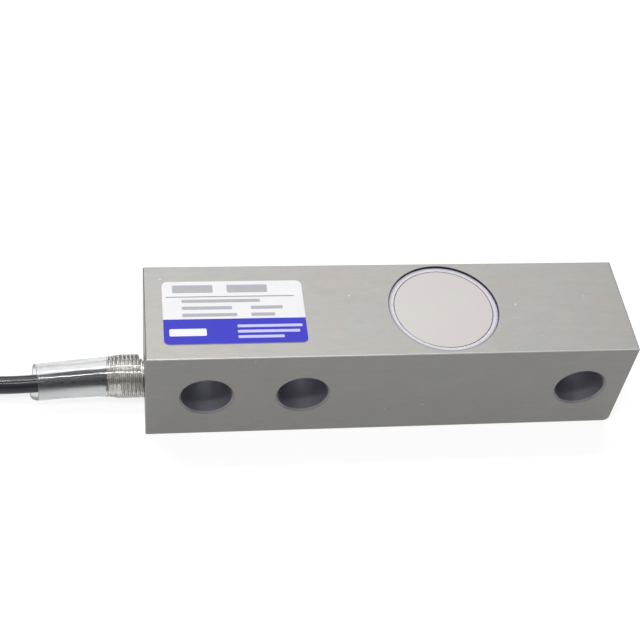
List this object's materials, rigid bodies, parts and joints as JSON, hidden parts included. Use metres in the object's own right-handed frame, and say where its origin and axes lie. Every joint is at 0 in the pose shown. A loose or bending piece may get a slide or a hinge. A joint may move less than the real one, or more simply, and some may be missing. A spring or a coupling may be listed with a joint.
{
  "type": "shear beam load cell",
  "caption": "Square steel shear beam load cell with cross bolt holes, a sealed round gauge pocket, a bare label, and a cable through a threaded gland with a clear sleeve.",
  "frame": {"origin": "point of the resting side face midway between the two fixing holes", "axes": "+X along the beam from the cable end to the loading end, Y along the bolt holes, +Z from the resting side face up to the label face"},
  "size_m": [0.2699, 0.0559, 0.0319],
  "materials": {
    "beam_steel": "ground alloy steel, nickel plated, satin",
    "cover_steel": "cold rolled stainless steel, smooth",
    "weld_bead": "smooth laser weld bead, bright",
    "label_film": "printed polyester film, white with a blue band",
    "nipple_metal": "nickel plated brass, machined thread",
    "seal_rubber": "nitrile rubber",
    "clear_sleeve_pvc": "clear soft PVC tube, slightly cloudy",
    "cable_jacket": "black polyurethane cable jacket, glossy",
    "tie_plastic": "plastic coated tie",
    "shrink_tube": "heat shrink tube",
    "gauge_film": "polyimide backing with constantan foil",
    "terminal_strip": "glass epoxy strip with tinned pads",
    "board_laminate": "glass epoxy board, green",
    "chip_resistor": "ceramic chip resistor",
    "jumper_wire": "enamelled copper wire",
    "wire_green": "green PVC wire insulation",
    "wire_yellow": "yellow PVC wire insulation",
    "wire_red": "red PVC wire insulation",
    "wire_shield": "screen drain wire with a tinned tip",
    "wire_white": "white PVC wire insulation",
    "wire_black": "black PVC wire insulation",
    "wire_blue": "blue PVC wire insulation"
  },
  "bodies": {
    "root": {"beam_body": "beam_steel", "front_cover": "cover_steel", "rear_cover": "cover_steel", "front_cover_weld": "weld_bead", "rear_cover_weld": "weld_bead", "rating_label": "label_film", "cable_nipple": "nipple_metal", "gland_seal": "seal_rubber", "clear_sleeve": "clear_sleeve_pvc", "cable": "cable_jacket", "cable_hank": "cable_jacket", "side_tie": "tie_plastic", "end_tie": "tie_plastic", "shrink_sleeve": "shrink_tube", "front_gauge": "gauge_film", "rear_gauge": "gauge_film", "front_terminals": "terminal_strip", "rear_terminals": "terminal_strip", "bridge_board": "board_laminate", "zero_resistor": "chip_resistor", "span_resistor": "chip_resistor", "balance_resistor": "chip_resistor", "lead_green": "wire_green", "lead_yellow": "wire_yellow", "lead_red": "wire_red", "lead_shield": "wire_shield", "lead_white": "wire_white", "lead_black": "wire_black", "lead_blue": "wire_blue", "core_blue": "wire_blue", "core_black": "wire_black", "core_white": "wire_white", "core_red": "wire_red", "core_yellow": "wire_yellow", "core_green": "wire_green", "jumper_front_1": "jumper_wire", "jumper_front_2": "jumper_wire", "jumper_front_3": "jumper_wire", "jumper_front_4": "jumper_wire", "jumper_rear_1": "jumper_wire", "jumper_rear_2": "jumper_wire", "jumper_rear_3": "jumper_wire", "jumper_rear_4": "jumper_wire"}
  },
  "joints": []
}
